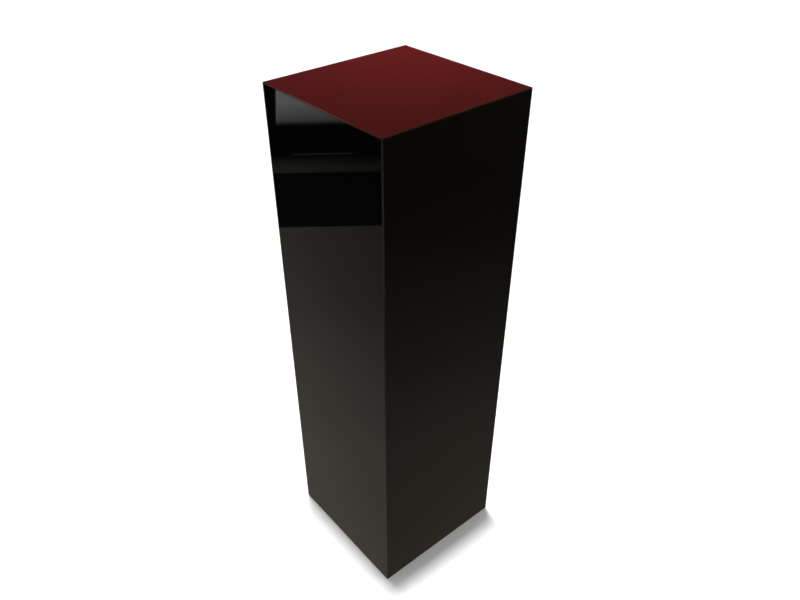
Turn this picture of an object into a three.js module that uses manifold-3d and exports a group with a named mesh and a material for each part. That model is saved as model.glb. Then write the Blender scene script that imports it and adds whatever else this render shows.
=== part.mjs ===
// Square display plinth for museums and exhibitions: a gloss-faced box of boards on four levelling feet.
// Millimetres, +Z up. The origin is the centre of the footprint, at floor level, with the feet screwed
// fully in. The front face looks along -Y, the right face along +X.

import * as THREE from 'three';
import { mergeVertices } from 'three/addons/utils/BufferGeometryUtils.js';
import Module from 'manifold-3d';

const manifold = await Module();
manifold.setup();

// Outside of the plinth
const WIDTH = 300;
const HEIGHT = 1000;
const SHADOW_GAP = 2; // between the floor and the lower edge of the box

// Stock sizes
const SHEET = 2; // gloss acrylic facing
const GLUE_LINE = 0.3; // between any two pieces that are glued or screwed together
const BOARD = 15; // side and top boards
const BASE_BOARD = 18;
const POST = 25; // corner post, square
const POST_CHAMFER = 4; // on the post's inner corner
const RAIL_DEPTH = 20; // rail, measured in from the side board
const RAIL_HEIGHT = 30;
const BASE_RECESS = 20; // underside of the base board above the floor

// Levelling foot, M8, with a swivelling pad; radii and heights above the floor
const FOOT_INSET = 52; // foot's axis from the plinth's outer faces
const SOLE = { radius: 13, height: 2.4, edge: 0.6 };
const PAD = { radius: 15, bottom: 1, shoulder: 4, top: 10, crown: 8.5 };
const SOCKET = { floor: 4.2, ceiling: 7.2, radius: 6.3, neck: 4.3 };
const FIT_GAP = 0.3; // between a foot's pieces
const COLLAR = { acrossFlats: 13, height: 5.5 };
const NECK_RADIUS = 3.6;
const THREAD_RADIUS = 3.9;
const STEM_TOP = 62;
const STEM_TIP = 1.2; // lead-in chamfer on the stem's end

// Flanged insert nut for the foot
const NUT = { flangeRadius: 11, flange: 1.5, barrelRadius: 5, barrel: 13, boreRadius: 4.1 };

// Countersunk wood screw, 4 x 40, driven upwards
const SCREW = { length: 40, radius: 2, headRadius: 4, headHeight: 2.6, point: 6, sink: 0.5 };
const RECESS = { span: 4.4, slot: 1, depth: 1.6 };
const DRILL_GAP = 0.3; // around a screw in its hole
const SCREW_SPACING = 120; // between the two screws of one rail

const ROUND = 20; // facets around a foot or a nut
const ROUND_SCREW = 12;

// Planes and half widths worked out from the sizes above
const OUTER = WIDTH / 2;
const SHEET_BACK = OUTER - SHEET;
const BOARD_FACE = SHEET_BACK - GLUE_LINE;
const BOARD_BACK = BOARD_FACE - BOARD;
const INSIDE = BOARD_BACK - GLUE_LINE;
const TOP_BOARD_TOP = HEIGHT - SHEET - GLUE_LINE;
const TOP_BOARD_BOTTOM = TOP_BOARD_TOP - BOARD;
const FRAME_TOP = TOP_BOARD_BOTTOM - GLUE_LINE;
const BASE_BOARD_TOP = BASE_RECESS + BASE_BOARD;
const FRAME_BOTTOM = BASE_BOARD_TOP + GLUE_LINE;
const RAIL_LENGTH = 2 * (INSIDE - POST - GLUE_LINE);
const RAIL_CENTRE = INSIDE - RAIL_DEPTH / 2;
const FLANGE_TOP = BASE_RECESS - GLUE_LINE;
const FOOT_AXIS = OUTER - FOOT_INSET;
const BASE_SCREW_HEAD = BASE_RECESS + SCREW.sink;
const TOP_SCREW_HEAD = FRAME_TOP - RAIL_HEIGHT + SCREW.sink;

const SIDES = ['front', 'right', 'back', 'left'];
const QUARTER = Math.PI / 2;

function finish(color, roughness, metalness = 0) {
  return new THREE.MeshStandardMaterial({ color, roughness, metalness });
}

const BLACK_GLOSS = 0x0a0a0b;
const BURGUNDY_GLOSS = 0x551a1c;
const FIBREBOARD = 0x9a7a55;
const SOFTWOOD = 0xcfae7c;
const ZINC = 0xb9bcc0;
const NYLON = 0x1b1b1c;
const RUBBER = 0x2a2a2b;

// Booleans

function solidOf(geometry) {
  const bare = geometry.clone();
  bare.deleteAttribute('normal');
  bare.deleteAttribute('uv');
  const merged = mergeVertices(bare, 1e-4);
  return new manifold.Manifold(
    new manifold.Mesh({
      numProp: 3,
      vertProperties: Float32Array.from(merged.attributes.position.array),
      triVerts: Uint32Array.from(merged.index.array),
    }),
  );
}

function geometryOf(solid) {
  const { vertProperties, triVerts } = solid.getMesh();
  const geometry = new THREE.BufferGeometry();
  geometry.setAttribute('position', new THREE.BufferAttribute(vertProperties, 3));
  geometry.setIndex(new THREE.BufferAttribute(triVerts, 1));
  geometry.computeVertexNormals();
  return geometry;
}

function without(geometry, cutters) {
  const left = cutters.reduce((solid, cutter) => solid.subtract(solidOf(cutter)), solidOf(geometry));
  return geometryOf(left);
}

// Basic shapes

// A slab lying in XY, centred on the Z axis, from one height to another.
function slab(length, depth, bottom, top) {
  return new THREE.BoxGeometry(length, depth, top - bottom).translate(0, 0, (bottom + top) / 2);
}

// An outline in XY raised from one height to another.
function prism(outline, bottom, top) {
  const shape = new THREE.Shape(outline.map(([x, y]) => new THREE.Vector2(x, y)));
  const geometry = new THREE.ExtrudeGeometry(shape, { depth: top - bottom, bevelEnabled: false });
  return geometry.translate(0, 0, bottom);
}

// A turned piece about +Z. The profile is [radius, height] points and runs upwards on its outside.
function turned(profile, facets) {
  const points = profile.map(([radius, height]) => new THREE.Vector2(radius, height));
  return new THREE.LatheGeometry(points, facets).rotateX(QUARTER);
}

// Gloss facing

// Each side sheet covers the edge of its neighbour at its right-hand end, and stops against the back of
// the other neighbour at its left-hand end.
function sideSheet() {
  const left = -BOARD_FACE;
  const outline = [
    [left, -OUTER],
    [OUTER, -OUTER],
    [OUTER, -SHEET_BACK],
    [left, -SHEET_BACK],
  ];
  return prism(outline, SHADOW_GAP, TOP_BOARD_TOP);
}

function topSheet() {
  return slab(WIDTH, WIDTH, HEIGHT - SHEET, HEIGHT);
}

// Boards

// Side boards meet in mitres, with half a glue line taken off each mitred face.
function sideBoard() {
  const mitre = GLUE_LINE / Math.SQRT2;
  const outline = [
    [-BOARD_FACE + mitre, -BOARD_FACE],
    [BOARD_FACE - mitre, -BOARD_FACE],
    [BOARD_BACK - mitre, -BOARD_BACK],
    [-BOARD_BACK + mitre, -BOARD_BACK],
  ];
  return prism(outline, SHADOW_GAP, FRAME_TOP);
}

function topBoard() {
  const board = slab(2 * BOARD_FACE, 2 * BOARD_FACE, TOP_BOARD_BOTTOM, TOP_BOARD_TOP);
  return without(board, screwHoles(TOP_SCREW_HEAD));
}

function baseBoard() {
  const board = slab(2 * INSIDE, 2 * INSIDE, BASE_RECESS, BASE_BOARD_TOP);
  const nutHole = turned(
    [
      [0, 0],
      [NUT.barrelRadius + GLUE_LINE, 0],
      [NUT.barrelRadius + GLUE_LINE, BASE_BOARD_TOP + BASE_RECESS],
      [0, BASE_BOARD_TOP + BASE_RECESS],
    ],
    ROUND,
  );
  const nutHoles = corners().map(([x, y]) => nutHole.clone().translate(x, y, 0));
  return without(board, [...screwHoles(BASE_SCREW_HEAD), ...nutHoles]);
}

// Inner frame

function post() {
  const inner = INSIDE - POST;
  const outline = [
    [INSIDE, -INSIDE],
    [INSIDE, -inner],
    [inner + POST_CHAMFER, -inner],
    [inner, -inner - POST_CHAMFER],
    [inner, -INSIDE],
  ];
  return prism(outline, FRAME_BOTTOM, FRAME_TOP);
}

function rail(bottom, screwHead) {
  const bar = slab(RAIL_LENGTH, RAIL_DEPTH, bottom, bottom + RAIL_HEIGHT);
  return without(bar.translate(0, -RAIL_CENTRE, 0), railScrewPlaces().map((x) => screwHole(x, screwHead)));
}

// Screws

function railScrewPlaces() {
  return [-SCREW_SPACING / 2, SCREW_SPACING / 2];
}

// The screw's profile from its head up to its point; a hole is the same shape, one gap larger all round.
function screwProfile(gap) {
  const shoulder = SCREW.headHeight + gap;
  return [
    [0, -gap],
    [SCREW.headRadius + gap, -gap],
    [SCREW.radius + gap, shoulder],
    [SCREW.radius + gap, SCREW.length - SCREW.point + gap],
    [0, SCREW.length + gap],
  ];
}

function screw() {
  const blank = turned(screwProfile(0), ROUND_SCREW);
  const arm = slab(RECESS.span, RECESS.slot, -RECESS.depth, RECESS.depth);
  return without(blank, [arm, arm.clone().rotateZ(QUARTER)]);
}

// The hole opens below the head, so that it also sinks the head into the piece's underside.
function screwHole(x, head) {
  const mouth = SCREW.sink + SCREW.headHeight;
  const profile = screwProfile(DRILL_GAP);
  profile[0][1] -= mouth;
  profile.splice(1, 0, [SCREW.headRadius + DRILL_GAP, -mouth]);
  return turned(profile, ROUND_SCREW).translate(x, -RAIL_CENTRE, head);
}

function screwHoles(head) {
  return SIDES.flatMap((side, turn) =>
    railScrewPlaces().map((x) => screwHole(x, head).rotateZ(turn * QUARTER)),
  );
}

// Levelling feet

function corners() {
  return SIDES.map((side, turn) => {
    const corner = new THREE.Vector2(FOOT_AXIS, -FOOT_AXIS).rotateAround(new THREE.Vector2(), turn * QUARTER);
    return [corner.x, corner.y];
  });
}

function insertNut() {
  const flangeBottom = FLANGE_TOP - NUT.flange;
  const barrelTop = FLANGE_TOP + NUT.barrel;
  return turned(
    [
      [NUT.boreRadius, flangeBottom],
      [NUT.flangeRadius, flangeBottom],
      [NUT.flangeRadius, FLANGE_TOP],
      [NUT.barrelRadius, FLANGE_TOP],
      [NUT.barrelRadius, barrelTop],
      [NUT.boreRadius, barrelTop],
      [NUT.boreRadius, flangeBottom],
    ],
    ROUND,
  );
}

function footSole() {
  return turned(
    [
      [0, 0],
      [SOLE.radius - SOLE.edge, 0],
      [SOLE.radius, SOLE.edge],
      [SOLE.radius, SOLE.height],
      [0, SOLE.height],
    ],
    ROUND,
  );
}

// The pad holds the sole in a recess below, and the stem's head in a socket above.
function footPad() {
  const seat = SOLE.height + FIT_GAP;
  const recess = SOLE.radius + FIT_GAP;
  return turned(
    [
      [0, seat],
      [recess, seat],
      [recess, PAD.bottom],
      [PAD.radius, PAD.bottom],
      [PAD.radius, PAD.shoulder],
      [PAD.crown, PAD.top],
      [SOCKET.neck, PAD.top],
      [SOCKET.neck, SOCKET.ceiling],
      [SOCKET.radius, SOCKET.ceiling],
      [SOCKET.radius, SOCKET.floor],
      [0, SOCKET.floor],
    ],
    ROUND,
  );
}

// The stem stops against the insert nut's flange with its hexagonal collar.
function footStem() {
  const headRadius = SOCKET.radius - FIT_GAP;
  const headTop = SOCKET.ceiling - FIT_GAP;
  const collarTop = FLANGE_TOP - NUT.flange - FIT_GAP;
  const collarBottom = collarTop - COLLAR.height;
  const rod = turned(
    [
      [0, SOCKET.floor + FIT_GAP],
      [headRadius, SOCKET.floor + FIT_GAP],
      [headRadius, headTop],
      [NECK_RADIUS, headTop],
      [NECK_RADIUS, collarTop],
      [THREAD_RADIUS, collarTop],
      [THREAD_RADIUS, STEM_TOP - STEM_TIP],
      [THREAD_RADIUS - STEM_TIP, STEM_TOP],
      [0, STEM_TOP],
    ],
    ROUND,
  );
  const hexRadius = COLLAR.acrossFlats / Math.sqrt(3);
  const hexagon = new THREE.CylinderGeometry(hexRadius, hexRadius, COLLAR.height, 6).rotateX(QUARTER);
  hexagon.translate(0, 0, (collarBottom + collarTop) / 2);
  return geometryOf(solidOf(rod).add(solidOf(hexagon)));
}

// Assembly

const plinth = new THREE.Group();

function add(parent, name, geometry, material) {
  const mesh = new THREE.Mesh(geometry, material);
  mesh.name = name;
  parent.add(mesh);
  return mesh;
}

add(plinth, 'top_facing', topSheet(), finish(BURGUNDY_GLOSS, 0.06));
add(plinth, 'top_board', topBoard(), finish(FIBREBOARD, 0.85));
add(plinth, 'base_board', baseBoard(), finish(FIBREBOARD, 0.85));

SIDES.forEach((side, turn) => {
  const quarter = new THREE.Group();
  quarter.rotation.z = turn * QUARTER;
  plinth.add(quarter);
  add(quarter, `${side}_facing`, sideSheet(), finish(BLACK_GLOSS, 0.04));
  add(quarter, `${side}_board`, sideBoard(), finish(FIBREBOARD, 0.85));
  add(quarter, `${side}_top_rail`, rail(FRAME_TOP - RAIL_HEIGHT, TOP_SCREW_HEAD), finish(SOFTWOOD, 0.7));
  add(quarter, `${side}_base_rail`, rail(FRAME_BOTTOM, BASE_SCREW_HEAD), finish(SOFTWOOD, 0.7));
  add(quarter, `corner_post_${turn + 1}`, post(), finish(SOFTWOOD, 0.7));
  railScrewPlaces().forEach((x, index) => {
    const number = 2 * turn + index + 1;
    const top = add(quarter, `top_screw_${number}`, screw(), finish(ZINC, 0.35, 1));
    top.position.set(x, -RAIL_CENTRE, TOP_SCREW_HEAD);
    const base = add(quarter, `base_screw_${number}`, screw(), finish(ZINC, 0.35, 1));
    base.position.set(x, -RAIL_CENTRE, BASE_SCREW_HEAD);
  });
});

corners().forEach(([x, y], index) => {
  const foot = new THREE.Group();
  foot.position.set(x, y, 0);
  plinth.add(foot);
  add(foot, `insert_nut_${index + 1}`, insertNut(), finish(ZINC, 0.35, 1));
  add(foot, `foot_sole_${index + 1}`, footSole(), finish(RUBBER, 0.9));
  add(foot, `foot_pad_${index + 1}`, footPad(), finish(NYLON, 0.5));
  add(foot, `foot_stem_${index + 1}`, footStem(), finish(ZINC, 0.3, 1));
});

export default plinth;
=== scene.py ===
"""The display plinth's looks: gloss facings, threaded hardware, joinery and a pale studio."""

import bmesh
import bpy
import math
from mathutils import Matrix, Vector


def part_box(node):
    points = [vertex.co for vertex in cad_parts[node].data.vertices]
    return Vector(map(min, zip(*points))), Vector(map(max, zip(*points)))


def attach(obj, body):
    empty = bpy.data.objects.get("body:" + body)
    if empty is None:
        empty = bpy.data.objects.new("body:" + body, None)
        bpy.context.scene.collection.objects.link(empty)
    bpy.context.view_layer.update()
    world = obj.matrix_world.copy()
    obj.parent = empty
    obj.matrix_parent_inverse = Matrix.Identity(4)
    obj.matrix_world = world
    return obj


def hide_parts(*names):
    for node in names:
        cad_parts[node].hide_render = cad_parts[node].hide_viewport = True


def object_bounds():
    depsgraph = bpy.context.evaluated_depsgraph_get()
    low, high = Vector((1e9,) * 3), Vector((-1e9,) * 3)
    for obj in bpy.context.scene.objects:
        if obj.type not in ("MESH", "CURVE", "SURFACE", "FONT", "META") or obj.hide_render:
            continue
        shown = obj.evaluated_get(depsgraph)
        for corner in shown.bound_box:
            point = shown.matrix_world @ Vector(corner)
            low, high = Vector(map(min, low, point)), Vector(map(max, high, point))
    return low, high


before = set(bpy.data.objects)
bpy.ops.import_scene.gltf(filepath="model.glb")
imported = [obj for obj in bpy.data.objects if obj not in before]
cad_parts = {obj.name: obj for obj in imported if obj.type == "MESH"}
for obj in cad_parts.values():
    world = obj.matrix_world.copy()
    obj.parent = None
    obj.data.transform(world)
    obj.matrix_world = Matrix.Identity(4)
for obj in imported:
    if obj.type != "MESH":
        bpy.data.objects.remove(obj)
cad_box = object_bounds()
SIDES = ("front", "right", "back", "left")
MM = 0.001

# ---------------------------------------------------------------- camera
# The photograph's viewpoint: a phone held 1.4 m up, looking down at the plinth's front right corner.
CAMERA_PLACE = Vector((0.8587, -0.7200, 1.3785))
CAMERA_AIM = Vector((-0.0517, 0.0, 0.5195))
CAMERA_ROLL = math.radians(-1.085)
LENS = 32.42
SHIFT = (0.0262, 0.0207)


def make_camera():
    data = bpy.data.cameras.new("camera")
    data.lens = LENS
    data.shift_x, data.shift_y = SHIFT
    camera = bpy.data.objects.new("camera", data)
    bpy.context.scene.collection.objects.link(camera)
    look = (CAMERA_AIM - CAMERA_PLACE).to_track_quat("-Z", "Y").to_matrix().to_4x4()
    camera.matrix_world = Matrix.Translation(CAMERA_PLACE) @ look @ Matrix.Rotation(CAMERA_ROLL, 4, "Z")
    bpy.context.scene.camera = camera


# ---------------------------------------------------------------- node helpers


class Nodes:
    """A short way to write a material's node tree."""

    def __init__(self, tree):
        self.tree = tree
        tree.nodes.clear()

    def add(self, kind, inputs=None, **settings):
        node = self.tree.nodes.new("ShaderNode" + kind)
        for key, value in settings.items():
            setattr(node, key, value)
        for key, value in (inputs or {}).items():
            self.put(node, key, value)
        return node

    def put(self, node, key, value):
        socket = node.inputs[key]
        if isinstance(value, bpy.types.NodeSocket):
            self.tree.links.new(value, socket)
        else:
            socket.default_value = value

    def place(self):
        return self.add("TexCoord").outputs["Object"]

    def axis(self, vector, letter):
        return self.add("SeparateXYZ", {"Vector": vector}).outputs[letter]

    def stretched(self, scale):
        return self.add("Mapping", {"Vector": self.place(), "Scale": scale}).outputs["Vector"]

    def noise(self, scale, detail=2.0, roughness=0.5, vector=None):
        sockets = {"Scale": scale, "Detail": detail, "Roughness": roughness}
        return self.add("TexNoise", {"Vector": vector or self.place(), **sockets}).outputs["Fac"]

    def ramp(self, value, stops, smooth=False):
        node = self.add("ValToRGB", {"Fac": value})
        band = node.color_ramp
        band.interpolation = "EASE" if smooth else "LINEAR"
        while len(band.elements) < len(stops):
            band.elements.new(1.0)
        for element, (position, colour) in zip(band.elements, stops):
            element.position = position
            element.color = (*colour, 1.0) if isinstance(colour, tuple) else (colour, colour, colour, 1.0)
        return node.outputs["Color"]

    def span(self, value, low, high, start=0.0, end=1.0):
        sockets = {"Value": value, "From Min": start, "From Max": end, "To Min": low, "To Max": high}
        return self.add("MapRange", sockets).outputs["Result"]

    def maths(self, operation, *values):
        node = self.add("Math", operation=operation)
        for index, value in enumerate(values):
            self.put(node, index, value)
        return node.outputs["Value"]

    def mix(self, factor, a, b):
        node = self.add("Mix", data_type="RGBA")
        for key, value in ((0, factor), (6, a), (7, b)):
            self.put(node, key, value)
        return node.outputs[2]

    def bump(self, height, distance, strength=1.0):
        sockets = {"Height": height, "Distance": distance, "Strength": strength}
        return self.add("Bump", sockets).outputs["Normal"]


def material(name, build):
    made = bpy.data.materials.new(name)
    made.use_nodes = True
    nodes = Nodes(made.node_tree)
    surface = build(nodes)
    nodes.add("OutputMaterial", {"Surface": surface.outputs[0]})
    return made


# ---------------------------------------------------------------- materials

ACRYLIC_IOR = 1.49


def gloss(colour_a, colour_b):
    """Cast acrylic sheet: a mirror gloss with a faint ripple, wiped smears and the odd speck of dust."""

    def build(n):
        cloud = n.noise(5.0, 3.0)
        smear = n.noise(1.0, 4.0, 0.6, n.stretched((3.0, 3.0, 14.0)))
        dust = n.ramp(n.noise(1400.0, 0.0), [(0.0, 0.0), (0.80, 0.0), (0.83, 1.0)])
        rough = n.maths("ADD", n.span(smear, 0.008, 0.035, 0.35, 0.7), n.maths("MULTIPLY", dust, 0.15))
        ripple = n.bump(n.noise(14.0, 1.0), 0.02 * MM)
        return n.add("BsdfPrincipled", {
            "Base Color": n.mix(cloud, (*colour_a, 1.0), (*colour_b, 1.0)),
            "Roughness": rough,
            "IOR": ACRYLIC_IOR,
            "Normal": ripple,
        })

    return build


def sawn_edge(colour_a, colour_b, rough):
    """The sheet's machined edge: scraped and buffed, with fine tool marks."""

    def build(n):
        marks = n.noise(900.0, 2.0, 0.6)
        return n.add("BsdfPrincipled", {
            "Base Color": n.mix(marks, (*colour_a, 1.0), (*colour_b, 1.0)),
            "Roughness": n.span(marks, rough[0], rough[1], 0.3, 0.7),
            "IOR": ACRYLIC_IOR,
            "Normal": n.bump(marks, 0.02 * MM),
        })

    return build


def fibreboard(n):
    """Raw board: pressed fibres as a fine mottle."""
    fibres = n.noise(1.0, 5.0, 0.7, n.stretched((500.0, 500.0, 260.0)))
    patches = n.noise(18.0, 2.0)
    tone = n.maths("ADD", n.maths("MULTIPLY", fibres, 0.7), n.maths("MULTIPLY", patches, 0.3))
    colour = n.ramp(tone, [(0.3, (0.22, 0.125, 0.06)), (0.7, (0.42, 0.27, 0.145))])
    return n.add("BsdfPrincipled", {
        "Base Color": colour,
        "Roughness": n.span(fibres, 0.75, 0.95),
        "Normal": n.bump(fibres, 0.2 * MM, 0.6),
    })


def softwood(grain):
    """Planed pine: growth rings and fibres drawn out along the piece, whose grain runs along that axis."""

    def drawn_out(coarse, fine):
        return tuple(coarse if axis == grain else fine for axis in range(3))

    def build(n):
        wander = n.noise(1.0, 3.0, 0.5, n.stretched(drawn_out(2.5, 60.0)))
        rings = n.maths("FRACT", n.maths("MULTIPLY", wander, 9.0))
        fibres = n.noise(1.0, 4.0, 0.7, n.stretched(drawn_out(18.0, 900.0)))
        early, late, line = (0.66, 0.46, 0.24), (0.56, 0.35, 0.16), (0.38, 0.21, 0.09)
        colour = n.ramp(rings, [(0.0, early), (0.75, late), (1.0, line)])
        return n.add("BsdfPrincipled", {
            "Base Color": n.mix(n.span(fibres, 0.0, 0.35), colour, (0.45, 0.28, 0.13, 1.0)),
            "Roughness": n.span(fibres, 0.5, 0.75),
            "Normal": n.bump(fibres, 0.2 * MM, 0.5),
        })

    return build


def zinc_steel(n):
    """Bright zinc plating with a slight blue and yellow bloom."""
    bloom = n.noise(160.0, 3.0)
    grain = n.noise(2500.0, 2.0)
    blue, plain, yellow = (0.63, 0.65, 0.69), (0.70, 0.70, 0.70), (0.72, 0.69, 0.62)
    colour = n.ramp(bloom, [(0.3, blue), (0.55, plain), (0.75, yellow)])
    return n.add("BsdfPrincipled", {
        "Base Color": colour,
        "Metallic": 1.0,
        "Roughness": n.span(grain, 0.22, 0.42, 0.3, 0.7),
        "Normal": n.bump(grain, 0.01 * MM, 0.5),
    })


def moulded(colour_a, colour_b, rough, grain_scale, depth):
    """Moulded nylon or rubber with a spark-eroded grain."""

    def build(n):
        grain = n.noise(grain_scale, 3.0, 0.6)
        return n.add("BsdfPrincipled", {
            "Base Color": n.mix(grain, (*colour_a, 1.0), (*colour_b, 1.0)),
            "Roughness": n.span(grain, rough[0], rough[1], 0.3, 0.7),
            "Normal": n.bump(grain, depth),
        })

    return build


BLACK = material("black_gloss", gloss((0.0003, 0.0003, 0.0003), (0.0006, 0.0006, 0.0006)))
BLACK_EDGE = material("black_edge", sawn_edge(
    (0.004, 0.004, 0.004), (0.012, 0.012, 0.011), rough=(0.16, 0.34)
))
# Painted reflection: the top sheet's dark red, on its face and its edges, stands in for a red wall mirrored
# in a black gloss top.
PAINTED_RED_REFLECTION = material("burgundy_gloss", gloss((0.0312, 0.0009, 0.0012), (0.0345, 0.0010, 0.0015)))
PAINTED_RED_REFLECTION_EDGE = material("painted_red_reflection_edge", sawn_edge(
    (0.030, 0.003, 0.003), (0.046, 0.006, 0.005), rough=(0.03, 0.12)
))
FIBREBOARD = material("fibreboard", fibreboard)
SOFTWOOD = [material(f"softwood_along_{letter}", softwood(axis)) for axis, letter in enumerate("xyz")]
ZINC = material("zinc_steel", zinc_steel)
NYLON = material("nylon", moulded(
    (0.008, 0.008, 0.009), (0.016, 0.016, 0.017), rough=(0.35, 0.6), grain_scale=1800.0, depth=0.04 * MM
))
RUBBER = material("rubber", moulded(
    (0.014, 0.014, 0.014), (0.030, 0.029, 0.028), rough=(0.75, 0.95), grain_scale=1200.0, depth=0.08 * MM
))

# ---------------------------------------------------------------- pieces


def piece(name, mesh, materials, body, node):
    """Puts a finished mesh in the scene in place of a CAD node."""
    data = bpy.data.meshes.new(name)
    mesh.normal_update()
    mesh.to_mesh(data)
    mesh.free()
    for entry in materials:
        data.materials.append(entry)
    made = bpy.data.objects.new(name, data)
    bpy.context.scene.collection.objects.link(made)
    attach(made, body)
    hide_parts(node)


ARRIS = 0.5 * MM
ARRIS_STEPS = 4
SQUARE_ON = 0.9999  # a face's normal lies along an axis when that part of it is over this
FACE, EDGE = 0, 1


def eased_box(low, high):
    """A box with rounded arrises. Its six flats stay truly flat."""
    mesh = bmesh.new()
    bmesh.ops.create_cube(mesh, size=1.0)
    bmesh.ops.scale(mesh, vec=high - low, verts=mesh.verts)
    bmesh.ops.translate(mesh, vec=(low + high) / 2, verts=mesh.verts)
    bevelled = bmesh.ops.bevel(
        mesh, geom=mesh.edges[:], offset=ARRIS, segments=ARRIS_STEPS, profile=0.5, affect="EDGES",
        clamp_overlap=True,
    )
    for face in bevelled["faces"]:
        face.smooth = True
    for face in mesh.faces:
        normal = face.normal
        flat = max(abs(normal.x), abs(normal.y), abs(normal.z)) > SQUARE_ON
        if flat and face.calc_area() > 4 * ARRIS * ARRIS:
            face.smooth = False
    return mesh


def make_facings():
    """Gloss sheets. Their wide faces are mirror gloss, and their thin edges are buffed."""
    for name, axis in (("top", 2), ("front", 1), ("right", 0), ("back", 1), ("left", 0)):
        node = f"{name}_facing"
        mesh = eased_box(*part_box(node))
        for face in mesh.faces:
            face.material_index = FACE if abs(face.normal[axis]) > SQUARE_ON else EDGE
        top = name == "top"
        # The top sheet takes the painted red reflection as its colour, and the other sheets take black.
        finishes = [PAINTED_RED_REFLECTION, PAINTED_RED_REFLECTION_EDGE] if top else [BLACK, BLACK_EDGE]
        piece(f"{name}_gloss_sheet", mesh, finishes, "root", node)


WELD = 0.001 * MM


class Thread:
    """A right-hand screw thread that runs out over one turn at each end. Its crest is flat for an eighth of
    the pitch, and its root is flat for the given share of it. taper scales it by height."""

    STEPS = 8

    def __init__(self, major, minor, pitch, start, stop, root=0.25, taper=lambda at: 1.0):
        self.major, self.minor, self.pitch, self.start, self.stop = major, minor, pitch, start, stop
        self.root, self.taper = root, taper

    def radius(self, angle, at):
        crest = 1.0 / self.STEPS
        flank = (1.0 - crest - self.root) / 2
        phase = ((at - self.start) / self.pitch - angle / (2 * math.pi)) % 1.0
        ridge = max(0.0, min(1.0, (flank + crest / 2 - abs(phase - 0.5)) / flank))
        fade = max(0.0, min(1.0, (at - self.start) / self.pitch, (self.stop - at) / self.pitch))
        return (self.minor + (self.major - self.minor) * ridge * fade) * self.taper(at)

    def rows(self, angles):
        """Rows of (angle, height) that climb with the helix and are cut off level at its start and stop."""
        step = self.pitch / self.STEPS
        for index in range(math.ceil((self.stop - self.start + self.pitch) / step) + 1):
            first = self.start + index * step - self.pitch
            climb = [(angle, first + self.pitch * angle / (2 * math.pi)) for angle in angles]
            yield [(angle, min(self.stop, max(self.start, at))) for angle, at in climb]


def skin(mesh, loops, climb=0):
    """Faces between each loop of points and the next. Where a loop comes round to its first point, it goes
    on into the loop that is climb places above."""
    last = len(loops) - 1

    def corner(level, step):
        loop = loops[level]
        if len(loop) == 1:
            return loop[0]
        return loop[step] if step < len(loop) else loops[min(level + climb, last)][0]

    for level in range(last):
        for step in range(max(len(loops[level]), len(loops[level + 1]))):
            below = corner(level, step), corner(level, step + 1)
            above = corner(level + 1, step + 1), corner(level + 1, step)
            distinct = list(dict.fromkeys(below + above))
            if len(distinct) > 2:
                mesh.faces.new(distinct)


def turned(rings, around, axis):
    """A closed turned piece about an upright axis. Each ring is a Thread or a (height, radius), where the
    radius may be a function of the angle and the height, which is how scallops and hexagons are made."""
    mesh = bmesh.new()
    angles = [2 * math.pi * step / around for step in range(around)]

    def points(row, radius):
        made = []
        for angle, at in row:
            r = radius(angle, at) if callable(radius) else radius
            made.append(mesh.verts.new((axis.x + r * math.cos(angle), axis.y + r * math.sin(angle), at)))
        return made

    loops = []
    for ring in rings:
        if isinstance(ring, Thread):
            skin(mesh, loops)
            skin(mesh, [points(row, ring.radius) for row in ring.rows(angles)], ring.STEPS)
            loops = []
        else:
            at, radius = ring
            loops.append(points([(angle, at) for angle in (angles if radius else [0.0])], radius))
    skin(mesh, loops)
    bmesh.ops.remove_doubles(mesh, verts=mesh.verts, dist=WELD)
    bmesh.ops.recalc_face_normals(mesh, faces=mesh.faces)
    return mesh


def shade(mesh, crease=math.radians(35)):
    """Smooth, with every edge sharper than the crease kept sharp."""
    for face in mesh.faces:
        face.smooth = True
    for edge in mesh.edges:
        edge.smooth = not edge.is_manifold or edge.calc_face_angle(0.0) < crease
    return mesh


def hexagon(flats, low, high):
    """The radius of a hexagonal collar whose corners are chamfered at both faces."""
    chamfer, slope = 0.55 * MM, 1.7

    def radius(angle, at):
        turn = (angle + math.pi / 6) % (math.pi / 3) - math.pi / 6
        straight = flats / 2 / math.cos(turn)
        depth = min(at - low, high - at)
        if depth >= chamfer:
            return straight
        return min(straight, flats / 2 + 0.1 * MM + slope * max(0.0, depth))

    return radius


def heights(start, stop, step):
    """Even heights about that step apart, with both ends."""
    count = max(1, round((stop - start) / step))
    return [start + (stop - start) * index / count for index in range(count + 1)]


# The feet's cross sections, as radii unless they say otherwise.
HEAD = 6.0 * MM
SOCKET = 6.3 * MM
SOCKET_TOP = 7.2 * MM  # height
MOUTH = 4.3 * MM
NECK = 3.6 * MM
COLLAR_TALL = 5.5 * MM  # height
COLLAR_GAP = 0.3 * MM  # under the nut's flange
STEM_MAJOR, STEM_MINOR, STEM_PITCH = 3.9 * MM, 3.25 * MM, 1.25 * MM
NUT_BORE = 4.1 * MM
NUT_MAJOR, NUT_MINOR, NUT_PITCH = 5.0 * MM, 4.6 * MM, 2.0 * MM
FLANGE_THICK = 1.5 * MM


def make_sole(number):
    """A rubber disc with five ribs underneath, inside a flat rim."""
    node = f"foot_sole_{number}"
    low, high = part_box(node)
    wide = (high.x - low.x) / 2
    groove, rib = 0.9 * MM, 0.35 * MM
    rings = [(groove, 0)]
    for ring in range(5):
        out = wide * (0.18 + 0.155 * ring)
        rings += [(groove, out), (0.0, out + rib), (0.0, out + 3 * rib), (groove, out + 4 * rib)]
    rings += [(0.0, wide - 1.0 * MM), (0.15 * MM, wide - 0.4 * MM), (0.6 * MM, wide), (high.z, wide)]
    rings += [(high.z, 0)]
    mesh = shade(turned(rings, 64, (low + high) / 2))
    piece(f"rubber_sole_{number}", mesh, [RUBBER], f"foot_{number}_pad", node)


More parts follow.
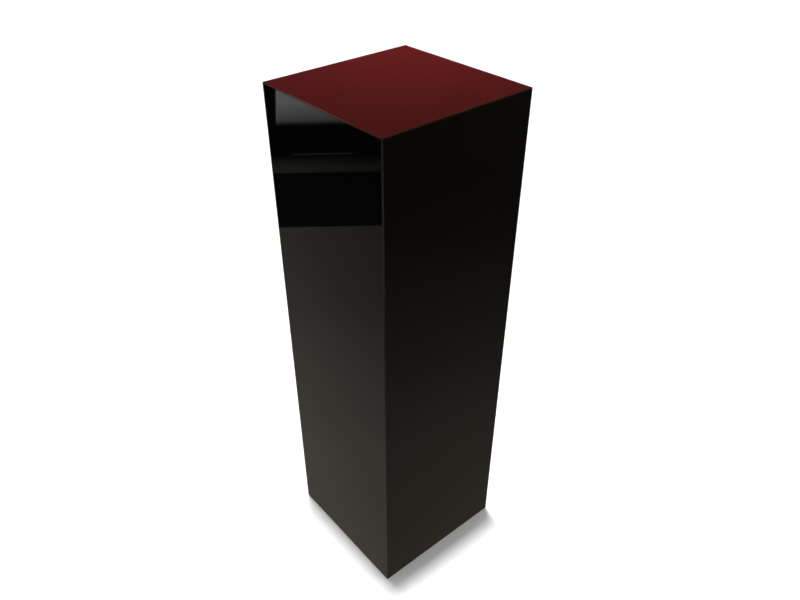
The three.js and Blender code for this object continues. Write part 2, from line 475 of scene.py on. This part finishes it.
def make_pad(number):
    """A moulded pad: a recess for the sole, a scalloped grip, a sloping shoulder and a socket above."""
    node = f"foot_pad_{number}"
    low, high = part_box(node)
    wide = (high.x - low.x) / 2
    recess, recess_top, socket_floor = wide - 1.7 * MM, 2.7 * MM, 4.2 * MM
    scallops, scallop_depth = 24, 0.25 * MM

    def scalloped(angle, at):
        return wide - scallop_depth * (1 - math.cos(scallops * angle))

    foot, foot_at = wide - 0.7 * MM, 4.6 * MM
    neck, neck_at = 8.7 * MM, high.z - 0.5 * MM

    def shoulder(at):
        slide = (1 + math.cos(math.pi * (at - foot_at) / (neck_at - foot_at))) / 2
        return neck + (foot - neck) * slide

    rings = [(recess_top, 0), (recess_top, recess), (1.2 * MM, recess), (low.z, recess + 0.2 * MM)]
    rings += [(low.z, wide - 0.5 * MM), (1.3 * MM, scalloped), (4.0 * MM, scalloped)]
    rings += [(z, shoulder(z)) for z in heights(foot_at, neck_at, 0.4 * MM)]
    rings += [(high.z - 0.15 * MM, neck - 0.1 * MM), (high.z, neck - 0.4 * MM)]
    rings += [(high.z, MOUTH + 0.3 * MM), (high.z - 0.3 * MM, MOUTH), (SOCKET_TOP, MOUTH)]
    rings += [(SOCKET_TOP, SOCKET), (socket_floor, SOCKET), (socket_floor, 0)]
    mesh = shade(turned(rings, 192, (low + high) / 2))
    piece(f"swivel_pad_{number}", mesh, [NYLON], f"foot_{number}_pad", node)


def make_stem(number):
    """A steel stem: a round head in the pad, a neck, a hexagonal collar for a spanner, and an M8 thread."""
    node = f"foot_stem_{number}"
    low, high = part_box(node)
    head_top = 6.9 * MM
    collar_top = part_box(f"insert_nut_{number}")[0].z - COLLAR_GAP
    collar_low = collar_top - COLLAR_TALL
    collar = hexagon(high.x - low.x, collar_low, collar_top)
    start, stop = collar_top + 0.4 * MM, high.z - 0.8 * MM
    rings = [(low.z, 0), (low.z, HEAD - 0.6 * MM), (low.z + 0.6 * MM, HEAD)]
    rings += [(head_top - 0.4 * MM, HEAD), (head_top, HEAD - 0.4 * MM), (head_top, NECK)]
    rings += [(collar_low, NECK)]
    rings += [(z, collar) for z in (collar_low, collar_low + 0.5 * MM, collar_top - 0.5 * MM, collar_top)]
    rings += [(collar_top, STEM_MINOR), (start, STEM_MINOR)]
    rings += [Thread(STEM_MAJOR, STEM_MINOR, STEM_PITCH, start, stop)]
    rings += [(stop, STEM_MINOR), (high.z, 2.7 * MM), (high.z, 0)]
    mesh = shade(turned(rings, 48, (low + high) / 2), crease=math.radians(18))
    piece(f"threaded_stem_{number}", mesh, [ZINC], f"foot_{number}_stem", node)


def make_nut(number):
    """A flanged insert nut, open right through, with a coarse thread that bites the board."""
    node = f"insert_nut_{number}"
    low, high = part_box(node)
    flange = (high.x - low.x) / 2
    seat = low.z + FLANGE_THICK
    start, stop = seat + 0.6 * MM, high.z - 0.6 * MM
    mouth = (low.z + 0.5 * MM, NUT_BORE)
    rings = [mouth, (low.z, NUT_BORE + 0.5 * MM), (low.z, flange - 0.4 * MM), (low.z + 0.4 * MM, flange)]
    rings += [(seat - 0.3 * MM, flange), (seat, flange - 0.3 * MM), (seat, NUT_MINOR), (start, NUT_MINOR)]
    rings += [Thread(NUT_MAJOR, NUT_MINOR, NUT_PITCH, start, stop)]
    rings += [(stop, NUT_MINOR), (high.z, NUT_MINOR - 0.1 * MM), (high.z, NUT_BORE), mouth]
    mesh = shade(turned(rings, 64, (low + high) / 2))
    piece(f"flanged_nut_{number}", mesh, [ZINC], "root", node)


# A countersunk 4 x 40 wood screw, as radii unless they say otherwise.
SCREW_HEAD, SCREW_SHANK = 4.0 * MM, 1.42 * MM
SCREW_MAJOR, SCREW_MINOR, SCREW_PITCH = 2.0 * MM, 1.35 * MM, 1.8 * MM
SCREW_LENGTH = 40.0 * MM


def scratch(mesh, name):
    """An object for a modifier to work on, which is removed when that is done."""
    data = bpy.data.meshes.new(name)
    mesh.to_mesh(data)
    mesh.free()
    made = bpy.data.objects.new(name, data)
    bpy.context.scene.collection.objects.link(made)
    return made


def screw_blank():
    """The screw standing on its head, before its cross recess is cut."""
    start, stop = 12.0 * MM, 38.6 * MM

    def point(at):
        return min(1.0, (SCREW_LENGTH - at) / (6.0 * MM))

    rings = [(0, 0), (0, SCREW_HEAD - 0.15 * MM), (0.12 * MM, SCREW_HEAD), (0.3 * MM, SCREW_HEAD)]
    rings += [(2.4 * MM, 1.7 * MM), (3.2 * MM, SCREW_SHANK), (start - 0.2 * MM, SCREW_SHANK)]
    rings += [(start, SCREW_MINOR)]
    rings += [Thread(SCREW_MAJOR, SCREW_MINOR, SCREW_PITCH, start, stop, root=0.5, taper=point)]
    rings += [(stop, SCREW_MINOR * point(stop)), (SCREW_LENGTH, 0)]
    return shade(turned(rings, 32, Vector((0, 0, 0))))


def cross_cutter():
    """Two crossed blades that narrow as they go into the head."""
    cross = bmesh.new()
    for turn in (0.0, math.pi / 2):
        blade = bmesh.ops.create_cube(cross, size=1.0)["verts"]
        for vert in blade:
            long, thick, at = (2.4, 0.7, 1.7) if vert.co.z > 0 else (4.6, 1.0, -0.6)
            vert.co = Vector((vert.co.x * long, vert.co.y * thick, at)) * MM
        bmesh.ops.rotate(cross, verts=blade, cent=(0, 0, 0), matrix=Matrix.Rotation(turn, 3, "Z"))
    return cross


def screw_mesh():
    """The finished screw, standing on its head."""
    body, cutter = scratch(screw_blank(), "screw_blank"), scratch(cross_cutter(), "screw_cutter")
    recess = body.modifiers.new("recess", "BOOLEAN")
    recess.object, recess.operation = cutter, "DIFFERENCE"
    recess.solver, recess.use_self = "EXACT", True
    evaluated = body.evaluated_get(bpy.context.evaluated_depsgraph_get())
    result = bpy.data.meshes.new_from_object(evaluated)
    for spent in (body, cutter):
        bpy.data.objects.remove(spent)
    return result


def make_screws():
    pattern = screw_mesh()
    for where in ("top", "base"):
        for number in range(1, 9):
            node = f"{where}_screw_{number}"
            low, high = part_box(node)
            mesh = bmesh.new()
            mesh.from_mesh(pattern)
            bmesh.ops.dissolve_degenerate(mesh, dist=WELD, edges=mesh.edges)
            place = ((low.x + high.x) / 2, (low.y + high.y) / 2, low.z)
            bmesh.ops.translate(mesh, vec=place, verts=mesh.verts)
            piece(f"{where}_wood_screw_{number}", mesh, [ZINC], "root", node)


def ease_edges(node, width):
    """Sands the edges of a CAD board or batten."""
    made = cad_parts[node]
    weld = made.modifiers.new("weld", "WELD")
    weld.merge_threshold = WELD
    bevel = made.modifiers.new("sanded", "BEVEL")
    bevel.width, bevel.segments, bevel.limit_method = width, 2, "ANGLE"
    bevel.angle_limit = math.radians(60)


def dress_joinery():
    """Boards, posts and rails keep their CAD shape and get their real material. The side boards and the
    posts also have sanded edges."""
    for node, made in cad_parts.items():
        if node.endswith("_board"):
            finish = FIBREBOARD
        elif "post" in node or "rail" in node:
            low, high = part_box(node)
            length = high - low
            finish = SOFTWOOD[max(range(3), key=lambda axis: length[axis])]
        else:
            continue
        made.data.materials.clear()
        made.data.materials.append(finish)
    posts = [f"corner_post_{number}" for number in range(1, 5)]
    for node in [f"{side}_board" for side in SIDES] + posts:
        ease_edges(node, 0.4 * MM)


make_camera()
make_facings()
for number in range(1, 5):
    make_sole(number)
    make_pad(number)
    make_stem(number)
    make_nut(number)
make_screws()
dress_joinery()

# ---------------------------------------------------------------- studio


def make_floor():
    """A wide, pale, matt floor, which the gloss doesn't mirror."""
    mesh = bmesh.new()
    bmesh.ops.create_grid(mesh, x_segments=2, y_segments=2, size=9.0)
    data = bpy.data.meshes.new("floor")
    mesh.to_mesh(data)
    mesh.free()

    def build(n):
        cloud = n.noise(1.4, 3.0)
        return n.add("BsdfPrincipled", {
            "Base Color": n.ramp(cloud, [(0.3, 0.82), (0.7, 0.86)]),
            "Roughness": 0.85,
            "Specular IOR Level": 0.1,
        })

    data.materials.append(material("floor", build))
    floor = bpy.data.objects.new("floor", data)
    bpy.context.scene.collection.objects.link(floor)
    floor.visible_glossy = False


def height(sine):
    """Where a ramp from straight down to straight up has the direction whose elevation has that sine."""
    return (sine + 1.0) / 2.0


# The radiance that the gloss mirrors, as (sine of the elevation, radiance): the floor, then the room over
# it. The front face mirrors one set at its far side and another at its near side.
SKY_TONES = ((-0.20, 0.06), (0.04, 0.05), (0.48, 0.05), (0.62, 0.30), (1.0, 0.55))
FRONT_FAR_TONES = (
    (-1.0, 0.26), (-0.78, 0.285), (-0.73, 0.305), (-0.66, 0.285), (-0.62, 0.26), (-0.576, 0.22),
    (-0.51, 0.19), (-0.36, 0.17), *SKY_TONES,
)
FRONT_NEAR_TONES = (
    (-1.0, 0.26), (-0.78, 0.285), (-0.735, 0.30), (-0.69, 0.265), (-0.62, 0.22), (-0.58, 0.165),
    (-0.51, 0.145), (-0.36, 0.13), *SKY_TONES,
)
RIGHT_TONES = (
    (-1.0, 0.21), (-0.78, 0.185), (-0.73, 0.175), (-0.69, 0.155), (-0.65, 0.126), (-0.60, 0.100),
    (-0.55, 0.078), (-0.50, 0.050), (-0.43, 0.040), *SKY_TONES,
)
WARM = (1.0, 0.91, 0.77)
WARMER = (1.0, 0.88, 0.69)
FILL = 0.62  # what the room gives everything but the gloss
FAR_TO_NEAR = (0.656, -0.755)  # level, across what the front face mirrors
FRONT_TO_RIGHT = (1.0, 1.0)  # level, from what the front face mirrors to what the right face does


def make_world():
    """A plain white room. What the gloss reflects of it is dimmer and warmer, as a dark floor would be."""
    world = bpy.data.worlds.new("studio")
    world.use_nodes = True
    bpy.context.scene.world = world
    n = Nodes(world.node_tree)
    direction = n.add("TexCoord").outputs["Generated"]

    def towards(x, y):
        share = n.add("VectorMath", {0: direction, 1: (x, y, 0.0)}, operation="DOT_PRODUCT")
        return share.outputs["Value"]

    rise = n.span(n.axis(direction, "Z"), 0.0, 1.0, -1.0, 1.0)
    far, near, right = [
        n.ramp(rise, [(height(sine), tuple(tone * part for part in tint)) for sine, tone in tones])
        for tones, tint in ((FRONT_FAR_TONES, WARM), (FRONT_NEAR_TONES, WARM), (RIGHT_TONES, WARMER))
    ]
    front = n.mix(n.span(towards(*FAR_TO_NEAR), 0.0, 1.0, -0.14, -0.02), far, near)
    mirrored = n.mix(n.span(towards(*FRONT_TO_RIGHT), 0.0, 1.0, -0.6, 0.6), front, right)
    path = n.add("LightPath")
    white = n.span(path.outputs["Is Camera Ray"], FILL, 1.0)
    room = n.add("Background", {"Color": (1.0, 1.0, 1.0, 1.0), "Strength": white})
    seen = n.add("Background", {"Color": mirrored, "Strength": 1.0})
    shader = n.add("MixShader", {0: path.outputs["Is Glossy Ray"], 1: room.outputs[0], 2: seen.outputs[0]})
    n.add("OutputWorld", {"Surface": shader.outputs[0]})


def make_ceiling_light():
    """Falls almost straight down, so the plinth's shadow is a narrow band along the right of its base."""
    data = bpy.data.lights.new("ceiling_light", "SUN")
    data.energy = 0.9 * math.pi
    data.angle = math.radians(2.6)
    lamp = bpy.data.objects.new("ceiling_light", data)
    bpy.context.scene.collection.objects.link(lamp)
    lamp.visible_glossy = False
    lamp.matrix_world = Vector((0.040, -0.012, -1.0)).to_track_quat("-Z", "Y").to_matrix().to_4x4()


def make_snoot(name, place, aim, cone, power):
    """A spotlight with a soft edge, which is brightest on its axis."""
    data = bpy.data.lights.new(name, "SPOT")
    data.energy = power
    data.spot_size = math.radians(cone)
    data.spot_blend = 1.0
    data.shadow_soft_size = 0.04
    lamp = bpy.data.objects.new(name, data)
    bpy.context.scene.collection.objects.link(lamp)
    lamp.visible_glossy = False
    turn = (Vector(aim) - Vector(place)).to_track_quat("-Z", "Y").to_matrix().to_4x4()
    lamp.matrix_world = Matrix.Translation(place) @ turn


def glow(levels, tint=(1.0, 1.0, 1.0), rightwards=((0.0, 1.0), (1.0, 1.0))):
    """A glowing card: levels are (height, radiance), from the bottom up, under a faint mottle. rightwards
    dims it from left to right, as (share of its width, share of its radiance)."""
    bottom, top = levels[0][0], levels[-1][0]

    def build(n):
        up = n.span(n.axis(n.place(), "Z"), 0.0, 1.0, bottom, top)
        level = n.ramp(up, [((z - bottom) / (top - bottom), value) for z, value in levels])
        side = n.ramp(n.axis(n.add("TexCoord").outputs["UV"], "X"), rightwards)
        mottle = n.span(n.noise(2.5, 1.0), 0.9, 1.1, 0.3, 0.7)
        strength = n.maths("MULTIPLY", n.maths("MULTIPLY", level, side), mottle)
        return n.add("Emission", {"Color": (*tint, 1.0), "Strength": strength})

    return build


def softbox(level, side_fade, end_fade):
    """A card that melts away at its sides and ends. Each fade is the share of its width or length."""

    def build(n):
        place = n.add("TexCoord").outputs["UV"]
        cover = [
            n.ramp(n.maths("PINGPONG", n.axis(place, letter), 0.5), [(0.0, 0.0), (fade, 1.0)], smooth=True)
            for letter, fade in (("X", side_fade), ("Y", end_fade))
        ]
        lamp = n.add("Emission", {"Strength": level})
        gap = n.add("BsdfTransparent")
        return n.add("MixShader", {0: n.maths("MULTIPLY", *cover), 1: gap.outputs[0], 2: lamp.outputs[0]})

    return build


def mirrored_view():
    """The camera's level direction of view, as the front face mirrors it."""
    view = CAMERA_AIM - CAMERA_PLACE
    return Vector((view.x, -view.y, 0.0)).normalized()


def across():
    """The level direction square to it, which runs left to right in the front face."""
    along = mirrored_view()
    return Vector((-along.y, along.x, 0.0))


def card(name, corners, build):
    """A card that only the gloss sees."""
    mesh = bmesh.new()
    face = mesh.faces.new([mesh.verts.new(corner) for corner in corners])
    layer = mesh.loops.layers.uv.new("card")
    for loop, across_up in zip(face.loops, ((0, 0), (1, 0), (1, 1), (0, 1))):
        loop[layer].uv = across_up
    data = bpy.data.meshes.new(name)
    mesh.to_mesh(data)
    mesh.free()
    data.materials.append(material(name, build))
    made = bpy.data.objects.new(name, data)
    bpy.context.scene.collection.objects.link(made)
    for kind in ("camera", "diffuse", "transmission", "volume_scatter", "shadow"):
        setattr(made, "visible_" + kind, False)


def upright(distance, left, right, bottom, top):
    """Corners of an upright card that stands square to the view that the front face mirrors, that far from
    the plinth's centre. Left and right are as they look in the front face."""
    places = ((left, bottom), (right, bottom), (right, top), (left, top))
    return [mirrored_view() * distance + across() * u + Vector((0.0, 0.0, z)) for u, z in places]


BENCH_AT = 1.52  # how far the bench stands from the plinth, beyond which the lit wall is
NEARER = 0.001  # between the bench's cards, so that one covers the next
BENCH_LEFT, BENCH_RIGHT = -3.0, 0.9
FLAG_TOP = 0.420
FLAG_DROP = 0.016  # how much lower the dark flag's top is on its right
SHADE_LOW, SHADE_TOP, SHADE_LEAN = FLAG_TOP - 0.03, 1.3, 0.088
WALL_LEFT = -0.151
DARK = ((0.0, 0.013), (FLAG_TOP, 0.006))
RAIL = ((0.228, 0.09), (0.238, 0.11), (0.249, 0.105), (0.262, 0.078), (0.275, 0.055), (0.293, 0.012))
LINE = ((0.298, 0.07), (0.305, 0.07))
WALL = (
    (0.30, 0.0), (0.378, 0.01), (0.386, 0.08), (0.394, 0.28), (0.401, 0.41), (0.413, 0.45), (0.44, 0.65),
    (0.459, 0.78), (0.50, 0.81), (1.95, 0.84),
)
STRIP_AT = 2.4


def make_bench():
    """What the front face mirrors over the floor: a dark bench with two pale rails, and a shade over it."""
    flag = upright(BENCH_AT + NEARER, BENCH_LEFT, BENCH_RIGHT, 0.0, FLAG_TOP)
    flag[2].z -= FLAG_DROP
    card("dark_flag", flag, glow(DARK))
    shade_card = upright(BENCH_AT - 2 * NEARER, BENCH_LEFT, WALL_LEFT, SHADE_LOW, SHADE_TOP)
    shade_card[2] += SHADE_LEAN * across()
    card("side_flag", shade_card, glow(DARK))
    rail = glow(RAIL, tint=(1.0, 1.0, 0.70), rightwards=((0.74, 1.0), (0.86, 0.4)))
    card("flag_rail", upright(BENCH_AT, BENCH_LEFT, BENCH_RIGHT, RAIL[0][0], RAIL[-1][0]), rail)
    card("flag_line", upright(BENCH_AT - NEARER, -0.10, 0.12, LINE[0][0], LINE[-1][0]), glow(LINE))


def make_lit_wall():
    """A wall behind the bench, whose right edge leans to the left."""
    outline = upright(1.60, WALL_LEFT - 0.05, 0.50, WALL[0][0], WALL[-1][0])
    outline[2] = outline[2].lerp(outline[3], 0.4)
    card("lit_wall", outline, glow(WALL, tint=(0.97, 1.0, 0.96)))


def make_side_strips():
    """A tall softbox off to one side of each face, for whoever looks at that face square on."""
    left, right, bottom, top = -0.1, 0.8, 0.1, 2.4
    for number in range(4):
        facing = Matrix.Rotation(number * math.pi / 2, 3, "Z")
        places = ((left, bottom), (right, bottom), (right, top), (left, top))
        strip = [facing @ Vector((STRIP_AT, side, z)) for side, z in places]
        card(f"side_strip_{number + 1}", strip, softbox(1.1, 0.5, 0.25))


def make_pale_mat():
    """A mat on the floor in front of the front right corner. From the camera only the corner's arris
    mirrors it."""
    corner = Vector((cad_box[1][0], cad_box[0][1], -0.02))
    out, along = Vector((0.635, -0.772, 0.0)), Vector((0.772, 0.635, 0.0))
    near, far, near_half, far_half = 0.6, 4.6, 0.6, 1.2
    places = ((near, -near_half), (near, near_half), (far, far_half), (far, -far_half))
    mat = [corner + out * away + along * side for away, side in places]
    card("pale_mat", mat, softbox(3.2, 0.5, 0.4))


make_floor()
make_world()
make_bench()
make_lit_wall()
make_side_strips()
make_pale_mat()
make_ceiling_light()
make_snoot("top_snoot", place=(-0.24, 0.24, 1.47), aim=(-0.16, 0.16, 1.0), cone=90.0, power=33.5)

bpy.context.scene.view_settings.view_transform = "Standard"
